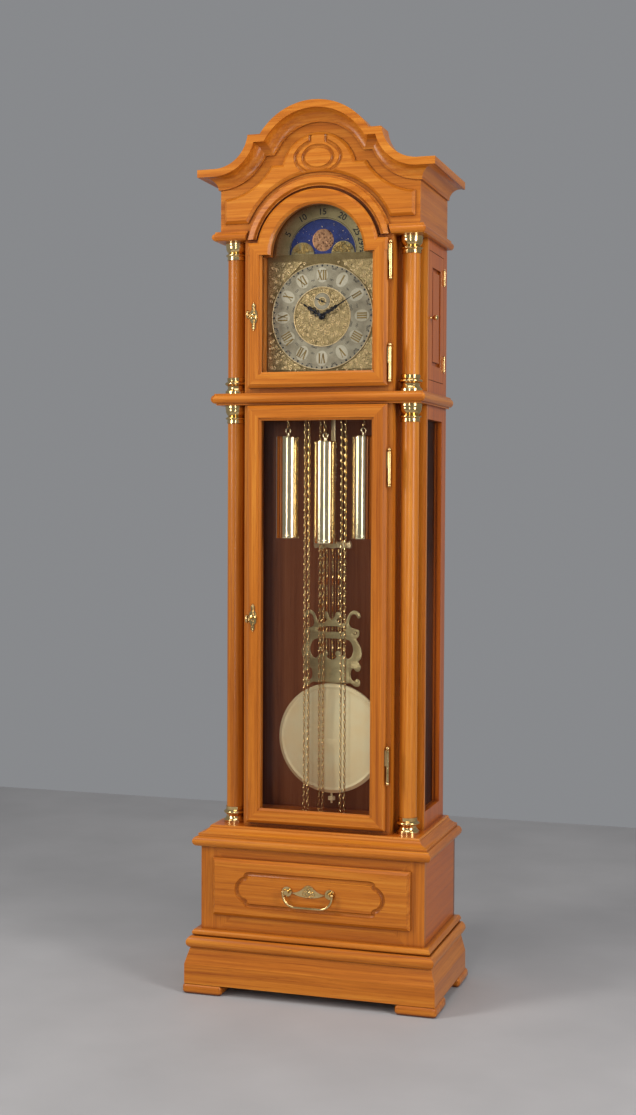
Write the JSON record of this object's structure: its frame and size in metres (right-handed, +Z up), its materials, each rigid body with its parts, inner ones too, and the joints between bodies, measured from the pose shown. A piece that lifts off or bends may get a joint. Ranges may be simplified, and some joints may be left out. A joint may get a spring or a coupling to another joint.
{
  "type": "grandfather clock",
  "caption": "Tall floor-standing clock in honey wood: drawer base, glazed trunk with weights, chains and lyre pendulum, and a hood with an arched moon dial under a scrolled crown",
  "frame": {"origin": "on the floor under the middle of the clock's bounding box", "axes": "+X to the clock's right as seen from the front, +Y to its back, +Z up"},
  "size_m": [0.64, 0.357, 2.16],
  "materials": {
    "wood": "satin lacquer over honey-coloured hardwood",
    "dark_wood": "dark red-brown stain",
    "brass": "polished",
    "gilt": "gilded, finely cast",
    "silvered": "silvered, fine brushed",
    "blackened_steel": "black enamel",
    "moon_blue": "painted night sky",
    "steel": "drawn rod",
    "glass": "clear"
  },
  "bodies": {
    "case": {"feet": "wood", "plinth_boards": "wood", "plinth_mouldings": "wood", "base_boards": "wood", "base_front_frame": "wood", "base_top_moulding": "wood", "back_panel": "dark_wood", "corner_posts": "wood", "side_frames": "wood", "side_glass": "glass", "columns": "wood", "column_brasses": "brass", "mid_moulding": "wood", "front_rails": "wood", "upper_moulding": "wood", "frieze_boards": "wood", "frieze_panel": "wood", "crown_moulding": "wood", "hinge_pins": "brass", "dial_plate": "gilt", "chapter_rings": "silvered", "dial_castings": "gilt", "moon_arch": "gilt", "seatboard": "dark_wood", "movement_frame": "brass", "chime_rods": "steel", "left_chain_drop": "brass", "left_chain_slack": "brass", "middle_chain_drop": "brass", "middle_chain_slack": "brass", "right_chain_drop": "brass", "right_chain_slack": "brass"},
    "drawer": {"drawer_front": "wood", "drawer_box": "wood", "drawer_pull_plate": "brass"},
    "bail": {"drawer_bail": "brass"},
    "trunk_door": {"trunk_door_frame": "wood", "trunk_door_glass": "glass", "trunk_door_brasses": "brass"},
    "trunk_key_body": {"trunk_key": "brass"},
    "hood_door": {"hood_door_frame": "wood", "hood_door_glass": "glass", "hood_door_brasses": "brass"},
    "hood_key_body": {"hood_key": "brass"},
    "right_side_door_body": {"right_side_door": "wood"},
    "left_side_door_body": {"left_side_door": "wood"},
    "minute_hand_body": {"minute_hand": "blackened_steel"},
    "hour_hand_body": {"hour_hand": "blackened_steel"},
    "seconds_hand_body": {"seconds_hand": "blackened_steel"},
    "moon": {"moon_disc": "moon_blue"},
    "pendulum": {"pendulum_hanger": "brass", "pendulum_lyre": "brass", "pendulum_bob": "brass"},
    "anchor_body": {"anchor": "brass"},
    "left_weight_body": {"left_weight": "brass"},
    "middle_weight_body": {"middle_weight": "brass"},
    "right_weight_body": {"right_weight": "brass"},
    "left_sprocket_body": {"left_sprocket": "brass"},
    "middle_sprocket_body": {"middle_sprocket": "brass"},
    "right_sprocket_body": {"right_sprocket": "brass"}
  },
  "joints": [
    {"name": "drawer_slide", "type": "slide", "parent": "case", "child": "drawer", "axis": [0, -1, 0], "range_m": [0, 0.22]},
    {"name": "bail_swing", "type": "hinge", "parent": "drawer", "child": "bail", "pos_m": [0, -0.172, 0.269], "axis": [-1, 0, 0], "range_deg": [0, 80]},
    {"name": "trunk_door_swing", "type": "hinge", "parent": "case", "child": "trunk_door", "pos_m": [0.183, -0.119, 0.93], "axis": [0, 0, 1], "range_deg": [0, 100]},
    {"name": "trunk_key_turn", "type": "hinge", "parent": "trunk_door", "child": "trunk_key_body", "pos_m": [-0.157, -0.14, 0.925], "axis": [0, 1, 0], "range_deg": [0, 90]},
    {"name": "hood_door_swing", "type": "hinge", "parent": "case", "child": "hood_door", "pos_m": [0.183, -0.119, 1.66], "axis": [0, 0, 1], "range_deg": [0, 100]},
    {"name": "hood_key_turn", "type": "hinge", "parent": "hood_door", "child": "hood_key_body", "pos_m": [-0.157, -0.14, 1.655], "axis": [0, 1, 0], "range_deg": [0, 90]},
    {"name": "right_side_door_swing", "type": "hinge", "parent": "case", "child": "right_side_door_body", "pos_m": [0.253, 0.143, 1.66], "axis": [0, 0, 1], "range_deg": [0, 95]},
    {"name": "left_side_door_swing", "type": "hinge", "parent": "case", "child": "left_side_door_body", "pos_m": [-0.253, 0.143, 1.66], "axis": [0, 0, -1], "range_deg": [0, 95]},
    {"name": "minute_turn", "type": "hinge", "parent": "case", "child": "minute_hand_body", "pos_m": [0, -0.08, 1.656], "axis": [0, 1, 0], "continuous": true},
    {"name": "hour_turn", "type": "hinge", "parent": "case", "child": "hour_hand_body", "pos_m": [0, -0.08, 1.656], "axis": [0, 1, 0], "continuous": true},
    {"name": "seconds_turn", "type": "hinge", "parent": "case", "child": "seconds_hand_body", "pos_m": [0, -0.076, 1.693], "axis": [0, 1, 0], "continuous": true},
    {"name": "moon_turn", "type": "hinge", "parent": "case", "child": "moon", "pos_m": [0, -0.067, 1.808], "axis": [0, 1, 0], "continuous": true},
    {"name": "pendulum_swing", "type": "hinge", "parent": "case", "child": "pendulum", "pos_m": [0, 0.0255, 1.735], "axis": [0, 1, 0], "range_deg": [-3.5, 3.5]},
    {"name": "anchor_rock", "type": "hinge", "parent": "case", "child": "anchor_body", "pos_m": [0, 0.0205, 1.735], "axis": [0, 1, 0], "range_deg": [-3.6, 3.6]},
    {"name": "left_weight_drop", "type": "slide", "parent": "case", "child": "left_weight_body", "axis": [0, 0, -1], "range_m": [0, 0.62], "deforming": ["left_chain_drop", "left_chain_slack"]},
    {"name": "middle_weight_drop", "type": "slide", "parent": "case", "child": "middle_weight_body", "axis": [0, 0, -1], "range_m": [0, 0.62], "deforming": ["middle_chain_drop", "middle_chain_slack"]},
    {"name": "right_weight_drop", "type": "slide", "parent": "case", "child": "right_weight_body", "axis": [0, 0, -1], "range_m": [0, 0.62], "deforming": ["right_chain_drop", "right_chain_slack"]},
    {"name": "left_sprocket_turn", "type": "hinge", "parent": "case", "child": "left_sprocket_body", "pos_m": [-0.0745, -0.0395, 1.59], "axis": [0, 1, 0], "range_deg": [-1579.8, 0]},
    {"name": "middle_sprocket_turn", "type": "hinge", "parent": "case", "child": "middle_sprocket_body", "pos_m": [-0.012, -0.0225, 1.59], "axis": [-0.817, -0.5767, 0], "range_deg": [-1708.1, 0]},
    {"name": "right_sprocket_turn", "type": "hinge", "parent": "case", "child": "right_sprocket_body", "pos_m": [0.0745, -0.0395, 1.59], "axis": [0, 1, 0], "range_deg": [0, 1579.8]}
  ],
  "couplings": [
    {"joint": "hour_turn", "follows": "minute_turn", "ratio": 0.083333},
    {"joint": "anchor_rock", "follows": "pendulum_swing", "ratio": 1},
    {"joint": "left_sprocket_turn", "follows": "left_weight_drop", "rad_per_m": -44.444},
    {"joint": "middle_sprocket_turn", "follows": "middle_weight_drop", "rad_per_m": -48.057},
    {"joint": "right_sprocket_turn", "follows": "right_weight_drop", "rad_per_m": 44.444}
  ]
}
